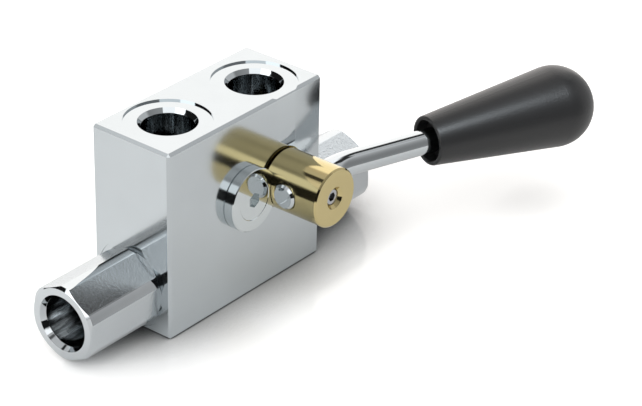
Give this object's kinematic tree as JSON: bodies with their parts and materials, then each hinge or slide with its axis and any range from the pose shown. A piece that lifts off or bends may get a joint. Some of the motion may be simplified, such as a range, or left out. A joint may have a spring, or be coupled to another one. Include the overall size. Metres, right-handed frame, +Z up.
{
  "type": "double non-return valve",
  "caption": "In-line steel valve block with pilot-operated check valves between top ports and hexagonal end fittings, and a brass shut-off cock turned by a black-knobbed lever.",
  "frame": {"origin": "centre of the flat face that the block stands on", "axes": "+X along the block and its lower bore, towards the lever's knob; -Y out of the front face that carries the cock; +Z up, out of the top ports"},
  "size_m": [0.2161, 0.0913, 0.072],
  "materials": {
    "block_steel": "fine-ground bright steel, lightly brushed",
    "fitting_steel": "bright turned and milled steel",
    "hardened_steel": "ground",
    "spring_steel": "drawn wire",
    "seal_rubber": "smooth nitrile",
    "cock_brass": "turned, bright",
    "disc_steel": "bright turned",
    "screw_steel": "bright plated",
    "lever_steel": "bright drawn rod",
    "set_screw_steel": "oiled steel",
    "knob_plastic": "black, fine satin",
    "insert_brass": "turned"
  },
  "bodies": {
    "block": {"valve_block": "block_steel", "left_port_fitting": "fitting_steel", "right_port_fitting": "fitting_steel", "left_fitting_seal": "seal_rubber", "right_fitting_seal": "seal_rubber", "left_seat_bush": "hardened_steel", "right_seat_bush": "hardened_steel", "left_seat_o_ring": "seal_rubber", "right_seat_o_ring": "seal_rubber", "left_check_spring": "spring_steel", "right_check_spring": "spring_steel", "retaining_disc": "disc_steel", "retaining_screw": "screw_steel"},
    "cock": {"cock_spindle": "cock_brass", "spindle_front_o_ring": "seal_rubber", "spindle_rear_o_ring": "seal_rubber", "lever_rod": "lever_steel", "lever_set_screw": "set_screw_steel", "lever_knob": "knob_plastic", "knob_insert": "insert_brass"},
    "pilot": {"pilot_piston": "hardened_steel", "piston_seal": "seal_rubber"},
    "left_poppet": {"left_check_poppet": "hardened_steel"},
    "right_poppet": {"right_check_poppet": "hardened_steel"}
  },
  "joints": [
    {"name": "lever_turn", "type": "hinge", "parent": "block", "child": "cock", "pos_m": [0.0188, -0.0175, 0.04], "axis": [0, -1, 0], "range_deg": [0, 90]},
    {"name": "pilot_shift", "type": "slide", "parent": "block", "child": "pilot", "axis": [1, 0, 0], "range_m": [-0.0014, 0.0014]},
    {"name": "left_check_lift", "type": "slide", "parent": "block", "child": "left_poppet", "axis": [-1, 0, 0], "range_m": [0, 0.0035], "stiffness_N_per_m": 1760, "springref_m": -0.002, "deforming": ["left_check_spring"]},
    {"name": "right_check_lift", "type": "slide", "parent": "block", "child": "right_poppet", "axis": [1, 0, 0], "range_m": [0, 0.0035], "stiffness_N_per_m": 1760, "springref_m": -0.002, "deforming": ["right_check_spring"]}
  ]
}
